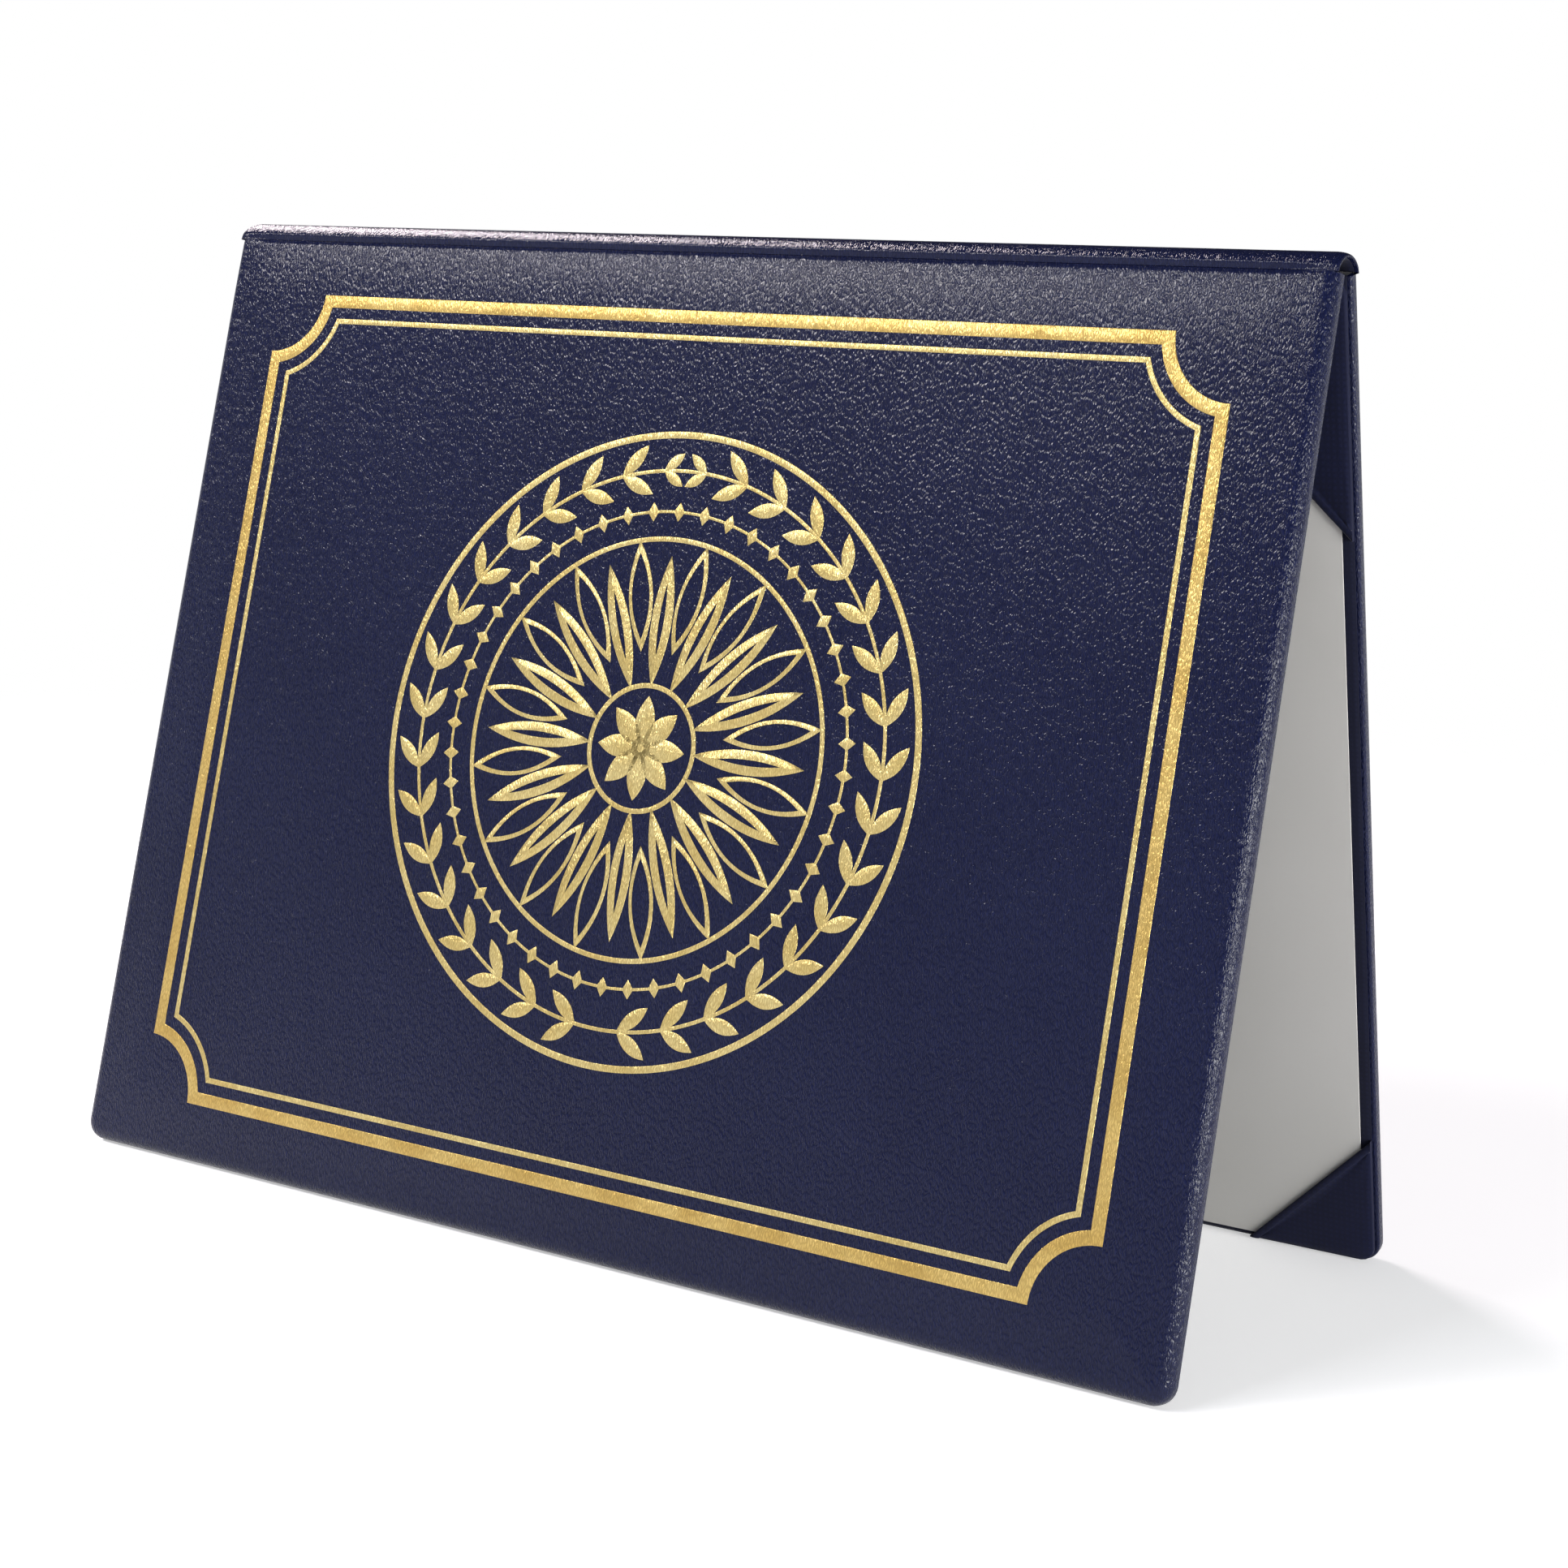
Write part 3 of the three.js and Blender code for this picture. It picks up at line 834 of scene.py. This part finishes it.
def leather_grain(tree):
    """Height of the leatherette's grain, with its pebbles and its swell: short wrinkles along the
    cover's height over a slow swell."""
    plain = tree.grain_coordinates()
    wander = tree.node("ShaderNodeTexNoise", {"Vector": plain, "Scale": WANDER_SCALE, "Detail": 2.0})
    centred = {0: wander.outputs["Color"], 1: (0.5, 0.5, 0.5)}
    shift = tree.node("ShaderNodeVectorMath", centred, operation="SUBTRACT")
    small = tree.node("ShaderNodeVectorMath", {0: shift.outputs[0], "Scale": WANDER}, operation="SCALE")
    bent = tree.node("ShaderNodeVectorMath", {0: plain, 1: small.outputs[0]}, operation="ADD")
    drawn = tree.mapped(bent.outputs[0], PEBBLE_TURN, PEBBLE_STRETCH)
    cells = tree.node(
        "ShaderNodeTexVoronoi",
        {"Vector": drawn, "Scale": PEBBLE_SCALE, "Randomness": 1.0},
        feature="DISTANCE_TO_EDGE",
        voronoi_dimensions="2D",
    )
    pebbles = tree.ramp(cells.outputs[0], 0.0, PEBBLE_EDGE)
    fine = tree.noise(drawn, FINE_SCALE, 2.0)
    swell = tree.noise(tree.grain_coordinates(SWELL_TURN, SWELL_STRETCH), SWELL_SCALE, 2.0)
    rough = tree.math("MULTIPLY", pebbles, PEBBLE_HEIGHT)
    height = tree.math("ADD", rough, tree.math("MULTIPLY", fine, FINE_HEIGHT))
    height = tree.math("ADD", height, tree.math("MULTIPLY", swell, SWELL_HEIGHT))
    return height, pebbles, swell


# Painted shade: darkening where the grain sinks between its pebbles
def painted_crevice_shade(tree, pebbles, share):
    return tree.math("MULTIPLY", tree.math("SUBTRACT", 1.0, pebbles), share)


def leather_material():
    """Navy leatherette: clouded, with a painted highlight on the swell's raised streaks and painted
    shade between the pebbles.
    """
    tree = Tree("leatherette")
    height, pebbles, swell = leather_grain(tree)
    plain = tree.grain_coordinates()
    cloud = tree.ramp(tree.noise(plain, 18.0, 3.0), 0.3, 0.7)
    base = tree.mix(cloud, NAVY, NAVY_CLOUD)
    # Painted highlight: paler where the swell stands highest
    base = tree.mix(tree.math("MULTIPLY", tree.ramp(swell, 0.42, 0.68), 0.4), base, NAVY_PAINTED_HIGHLIGHT)
    # Painted shade between the pebbles
    base = tree.mix(painted_crevice_shade(tree, pebbles, 0.55), base, NAVY_PAINTED_SHADE)
    roughness = tree.math("ADD", tree.math("MULTIPLY", tree.noise(plain, 700.0, 2.0), 0.22), 0.11)
    bump = tree.node("ShaderNodeBump", {"Height": height, "Strength": 1.0, "Distance": 0.000088})
    shader = tree.node(
        "ShaderNodeBsdfPrincipled",
        {
            "Base Color": base,
            "Roughness": roughness,
            "Specular IOR Level": 0.2,
            "Normal": bump.outputs[0],
        },
    )
    return tree.surface(shader)


def lining_material(name, colour, weave_scale):
    """Dark matt cloth with a fine weave."""
    tree = Tree(name)
    plain = tree.grain_coordinates()
    threads = {"Vector": plain, "Scale": weave_scale, "Distortion": 0.6, "Detail Scale": 3.0}
    warp = tree.node("ShaderNodeTexWave", threads, bands_direction="X")
    weft = tree.node("ShaderNodeTexWave", threads, bands_direction="Y")
    weave = tree.math("MULTIPLY", warp.outputs["Fac"], weft.outputs["Fac"])
    slow = tree.noise(plain, 60.0, 3.0)
    light = tuple(min(1.0, channel * 1.9) for channel in colour[:3]) + (1.0,)
    base = tree.mix(tree.math("MULTIPLY", weave, 0.6), colour, light)
    base = tree.mix(tree.math("MULTIPLY", tree.ramp(slow, 0.35, 0.7), 0.3), base, light)
    bump = tree.node("ShaderNodeBump", {"Height": weave, "Strength": 0.35, "Distance": 0.00008})
    shader = tree.node(
        "ShaderNodeBsdfPrincipled",
        {
            "Base Color": base,
            "Roughness": 0.78,
            "Specular IOR Level": 0.2,
            "Sheen Weight": 0.15,
            "Sheen Roughness": 0.4,
            "Normal": bump.outputs[0],
        },
    )
    return tree.surface(shader)


def foil_material(name, deep, pale):
    """Gold foil that the leather's grain shows through, with painted shade between its pebbles."""
    tree = Tree(name)
    height, pebbles, _ = leather_grain(tree)
    plain = tree.grain_coordinates()
    cloud = tree.ramp(tree.noise(plain, 90.0, 3.0), 0.3, 0.7)
    base = tree.mix(cloud, deep, pale)
    # Painted shade between the pebbles of the grain
    base = tree.mix(painted_crevice_shade(tree, pebbles, 0.5), base, FOIL_PAINTED_SHADE)
    roughness = tree.math("ADD", tree.math("MULTIPLY", tree.noise(plain, 1400.0, 2.0), 0.2), 0.3)
    bump = tree.node("ShaderNodeBump", {"Height": height, "Strength": 0.8, "Distance": 0.0001})
    shader = tree.node(
        "ShaderNodeBsdfPrincipled",
        {
            "Base Color": base,
            "Metallic": 0.62,
            "Roughness": roughness,
            "Specular IOR Level": 0.5,
            "Normal": bump.outputs[0],
        },
    )
    return tree.surface(shader)


def object_coordinates(tree):
    return tree.node("ShaderNodeTexCoord").outputs["Object"]


PAPER_SHADE = (0.63, 0.62, 0.59, 1.0)
PAPER_LIGHT = (0.69, 0.68, 0.655, 1.0)
PAPER_FIBRE = (0.62, 0.61, 0.58, 1.0)


def paper_material():
    tree = Tree("certificate paper")
    plain = object_coordinates(tree)
    fibre = tree.noise(plain, 900.0, 4.0)
    slow = tree.ramp(tree.noise(plain, 14.0, 2.0), 0.3, 0.7)
    base = tree.mix(slow, PAPER_SHADE, PAPER_LIGHT)
    base = tree.mix(tree.math("MULTIPLY", tree.ramp(fibre, 0.5, 0.8), 0.12), base, PAPER_FIBRE)
    bump = tree.node("ShaderNodeBump", {"Height": fibre, "Strength": 0.12, "Distance": 0.0001})
    shader = tree.node(
        "ShaderNodeBsdfPrincipled",
        {
            "Base Color": base,
            "Roughness": 0.85,
            "Specular IOR Level": 0.25,
            "Normal": bump.outputs[0],
        },
    )
    return tree.surface(shader)


def core_material(name, dark, light, scale):
    """Greyboard or foam: mottled and matt."""
    tree = Tree(name)
    plain = object_coordinates(tree)
    speck = tree.noise(plain, scale, 5.0, 0.65)
    base = tree.mix(tree.ramp(speck, 0.3, 0.7), dark, light)
    bump = tree.node("ShaderNodeBump", {"Height": speck, "Strength": 0.3, "Distance": 0.0002})
    shader = tree.node(
        "ShaderNodeBsdfPrincipled",
        {
            "Base Color": base,
            "Roughness": 0.92,
            "Specular IOR Level": 0.2,
            "Normal": bump.outputs[0],
        },
    )
    return tree.surface(shader)


def finish_with(obj, material):
    obj.data.materials.clear()
    obj.data.materials.append(material)


LINING_COLOUR = (0.0035, 0.0045, 0.016, 1.0)
CORNER_COLOUR = (0.0035, 0.005, 0.022, 1.0)
LINING_WEAVE = 1700.0 / 6.0
CORNER_WEAVE = 1500.0 / 6.0
GOLD = ((0.55, 0.37, 0.100, 1.0), (0.68, 0.50, 0.17, 1.0))
PALE_GOLD = ((0.58, 0.455, 0.165, 1.0), (0.69, 0.58, 0.26, 1.0))
GREYBOARD = ((0.20, 0.18, 0.15, 1.0), (0.32, 0.30, 0.26, 1.0))
FOAM = ((0.62, 0.61, 0.57, 1.0), (0.78, 0.77, 0.73, 1.0))

LEATHER_FINISH = leather_material()
LINING_FINISH = lining_material("lining cloth", LINING_COLOUR, LINING_WEAVE)
CORNER_FINISH = lining_material("corner cloth", CORNER_COLOUR, CORNER_WEAVE)
GOLD_FINISH = foil_material("gold foil", *GOLD)
PALE_GOLD_FINISH = foil_material("pale gold foil", *PALE_GOLD)
PAPER_FINISH = paper_material()
BOARD_FINISH = core_material("greyboard", *GREYBOARD, 700.0)
FOAM_FINISH = core_material("foam", *FOAM, 1600.0)


# Building the pieces

# Distances below and above the crease line, passed with each skin to crossing_blend
LEATHER_BEND = (0.8, 1.2)
LINING_BEND = (1.3, -0.1)


def crossing_blend(obj, side, below, above):
    """Bakes the piece's placement into its mesh."""
    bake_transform(obj)


for side, name in ((-1, "front_leather"), (1, "back_leather")):
    skin = leather_skin(side, name)
    finish_with(skin, LEATHER_FINISH)
    crossing_blend(skin, side, *LEATHER_BEND)
    if side < 0:
        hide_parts("front_wrap", "spine_wrap")
    else:
        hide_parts("back_wrap")

for side, name in ((-1, "front_lining"), (1, "back_lining")):
    cloth = lining_skin(side, name)
    finish_with(cloth, LINING_FINISH)
    crossing_blend(cloth, side, *LINING_BEND)
    if side < 0:
        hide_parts("front_liner", "spine_liner")
    else:
        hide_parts("back_liner")

emblem_ring = annulus(RING_RADIUS, RING_WIDTH, RING_STEPS)
FOILS = [
    (border("border_band", 0.0, BAND_WIDTH), "foil_border_band", GOLD_FINISH),
    (border("border_line", LINE_INSET, LINE_WIDTH), "foil_border_line", PALE_GOLD_FINISH),
    (emblem("emblem_ring", [emblem_ring]), "foil_ring", PALE_GOLD_FINISH),
    (emblem("emblem_garland", garland_shapes()), "foil_garland", PALE_GOLD_FINISH),
    (emblem("emblem_lozenges", lozenge_shapes()), "foil_lozenge_ring", PALE_GOLD_FINISH),
    (emblem("emblem_arches", arch_shapes()), "foil_arch_ring", PALE_GOLD_FINISH),
    (emblem("emblem_petals", petal_shapes()), "foil_petal_star", PALE_GOLD_FINISH),
    (emblem("emblem_flower", flower_shapes()), "foil_flower", PALE_GOLD_FINISH),
]
for foil, node, finish in FOILS:
    finish_with(foil, finish)
    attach(foil, "front_cover")
    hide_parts(node)

for across, hand in ((-1, "left"), (1, "right")):
    for is_upper, level in ((False, "bottom"), (True, "top")):
        corner = pocket(f"pocket_{level}_{hand}", across, is_upper)
        finish_with(corner, CORNER_FINISH)
        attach(corner, "back_cover")
        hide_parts(f"corner_{level}_{hand}")

finish_with(NODES["certificate_sheet"], PAPER_FINISH)
for cover in ("front", "back"):
    finish_with(NODES[f"{cover}_board"], BOARD_FINISH)
    finish_with(NODES[f"{cover}_pad"], FOAM_FINISH)


# Floor, light and camera

FLOOR_HALF = 6.0
FLOOR_DROP = 0.0002
FLOOR_NEAR = 0.30
FLOOR_FAR = 0.85
FLOOR_GLOW = 0.45
FLOOR_GREY = (0.80, 0.80, 0.81, 1.0)
FLOOR_PALE = (0.83, 0.83, 0.835, 1.0)


def seen_directly(tree):
    """1 for camera rays and for mirror and clear rays, which show the same white studio."""
    path = tree.node("ShaderNodeLightPath")
    seen = tree.math("MAXIMUM", path.outputs["Is Camera Ray"], path.outputs["Is Glossy Ray"])
    return tree.math("MAXIMUM", seen, path.outputs["Is Transmission Ray"])


def floor_material():
    """Pale and matt. Away from the object it runs out into the white of the backdrop."""
    tree = Tree("floor")
    place = object_coordinates(tree)
    speck = tree.noise(place, 3.0, 2.0)
    tint = tree.mix(speck, FLOOR_GREY, FLOOR_PALE)
    matt = tree.node("ShaderNodeBsdfDiffuse", {"Color": tint})
    distance = tree.node("ShaderNodeVectorMath", {0: place}, operation="LENGTH")
    far = tree.ramp(distance.outputs["Value"], FLOOR_NEAR, FLOOR_FAR)
    strength = tree.math("ADD", FLOOR_GLOW, tree.math("MULTIPLY", far, 1.0 - FLOOR_GLOW))
    white = tree.node("ShaderNodeEmission", {"Strength": strength})
    near_side = tree.node("ShaderNodeAddShader", {0: matt.outputs[0], 1: white.outputs[0]})
    whole = tree.node("ShaderNodeMixShader", {0: far, 1: near_side.outputs[0], 2: white.outputs[0]})
    shaders = {0: seen_directly(tree), 1: matt.outputs[0], 2: whole.outputs[0]}
    return tree.surface(tree.node("ShaderNodeMixShader", shaders))


floor_corners = [
    (across * FLOOR_HALF, along * FLOOR_HALF, 0.0)
    for across, along in ((-1, -1), (1, -1), (1, 1), (-1, 1))
]
floor = new_object("floor", floor_corners, [(0, 1, 2, 3)], smooth_faces=False)
floor.location.z = -FLOOR_DROP
finish_with(floor, floor_material())


FILL_COLOUR = (0.94, 0.96, 1.0, 1.0)
FILL_STRENGTH = 0.22
HORIZON_START = 0.08
HORIZON_END = 0.30
OVERHEAD = 0.02


def studio_world():
    """White behind the object, darker overhead in reflections, and a soft even fill for matt
    surfaces."""
    world = bpy.data.worlds.new("studio")
    bpy.context.scene.world = world
    world.use_nodes = True
    nodes = world.node_tree.nodes
    link = world.node_tree.links.new
    nodes.clear()
    output = nodes.new("ShaderNodeOutputWorld")
    path = nodes.new("ShaderNodeLightPath")
    fill = nodes.new("ShaderNodeBackground")
    fill.inputs["Color"].default_value = FILL_COLOUR
    fill.inputs["Strength"].default_value = FILL_STRENGTH
    backdrop = nodes.new("ShaderNodeBackground")
    backdrop.inputs["Strength"].default_value = 1.0
    backdrop.inputs["Color"].default_value = (1.0, 1.0, 1.0, 1.0)
    room = nodes.new("ShaderNodeBackground")
    place = nodes.new("ShaderNodeTexCoord")
    split = nodes.new("ShaderNodeSeparateXYZ")
    link(place.outputs["Generated"], split.inputs[0])
    rise = nodes.new("ShaderNodeMapRange")
    rise.interpolation_type = "SMOOTHSTEP"
    for key, value in ((1, HORIZON_START), (2, HORIZON_END), (3, 1.0), (4, OVERHEAD)):
        rise.inputs[key].default_value = value
    link(split.outputs[2], rise.inputs[0])
    link(rise.outputs[0], room.inputs["Strength"])
    mirror = nodes.new("ShaderNodeMath")
    mirror.operation = "MAXIMUM"
    link(path.outputs["Is Glossy Ray"], mirror.inputs[0])
    link(path.outputs["Is Transmission Ray"], mirror.inputs[1])
    reflected = nodes.new("ShaderNodeMixShader")
    link(mirror.outputs[0], reflected.inputs[0])
    link(fill.outputs[0], reflected.inputs[1])
    link(room.outputs[0], reflected.inputs[2])
    seen = nodes.new("ShaderNodeMixShader")
    link(path.outputs["Is Camera Ray"], seen.inputs[0])
    link(reflected.outputs[0], seen.inputs[1])
    link(backdrop.outputs[0], seen.inputs[2])
    link(seen.outputs[0], output.inputs["Surface"])


studio_world()


WHITE = (1.0, 1.0, 1.0)
WARM = (1.0, 0.95, 0.95)
COOL = (0.94, 0.96, 1.0)
ROSE = (1.0, 0.88, 0.92)


def softbox(name, place, target, power, colour, width, height=None):
    """A square area lamp aimed at a place, or a rectangular one where it has a height."""
    light = bpy.data.lights.new(name, "AREA")
    light.energy = power
    light.color = colour
    light.size = width
    if height:
        light.shape = "RECTANGLE"
        light.size_y = height
    lamp = bpy.data.objects.new(name, light)
    lamp.location = place
    direction = Vector(target) - Vector(place)
    lamp.rotation_euler = direction.to_track_quat("-Z", "Y").to_euler()
    bpy.context.scene.collection.objects.link(lamp)


BODY_MIDDLE = (0.0, -0.02, 0.1)
SPINE_LEFT = (-0.12, 0.0, 0.215)
SHEET_RIGHT = (0.14, 0.02, 0.09)
softbox("key", (-0.80, -0.85, 0.95), BODY_MIDDLE, 16.0, WARM, 0.58, 0.2)
softbox("key right", (-0.36, -1.05, 1.00), BODY_MIDDLE, 4.5, COOL, 0.36, 0.2)
softbox("spine strip", (-0.85, 0.42, 0.80), SPINE_LEFT, 8.0, ROSE, 0.36)
softbox("inside light", (0.85, -0.22, 0.12), SHEET_RIGHT, 8.0, WHITE, 0.35)

PHOTO_SIZE = 1932.0
FOCAL_PIXELS = 3450.5
CAMERA_PLACE = (0.35383, -0.51242, 0.20219)
YAW = math.radians(30.206)
PITCH = math.radians(7.944)
ROLL = math.radians(2.330)
CENTRE_PIXEL = (1158.7, 870.6)
SENSOR_WIDTH = 36.0
NEAREST = 0.01

camera_data = bpy.data.cameras.new("camera")
camera_data.sensor_width = SENSOR_WIDTH
camera_data.lens = FOCAL_PIXELS / PHOTO_SIZE * SENSOR_WIDTH
camera_data.shift_x = -(CENTRE_PIXEL[0] - PHOTO_SIZE / 2) / PHOTO_SIZE
camera_data.shift_y = (CENTRE_PIXEL[1] - PHOTO_SIZE / 2) / PHOTO_SIZE
camera_data.clip_start = NEAREST
camera = bpy.data.objects.new("camera", camera_data)
camera.location = CAMERA_PLACE
camera.rotation_mode = "QUATERNION"
forward = math.cos(PITCH)
look = Vector((-math.sin(YAW) * forward, math.cos(YAW) * forward, -math.sin(PITCH)))
upright = look.to_track_quat("-Z", "Y")
camera.rotation_quaternion = upright @ Euler((0.0, 0.0, ROLL)).to_quaternion()
bpy.context.scene.collection.objects.link(camera)
bpy.context.scene.camera = camera

bpy.context.scene.view_settings.view_transform = "Standard"
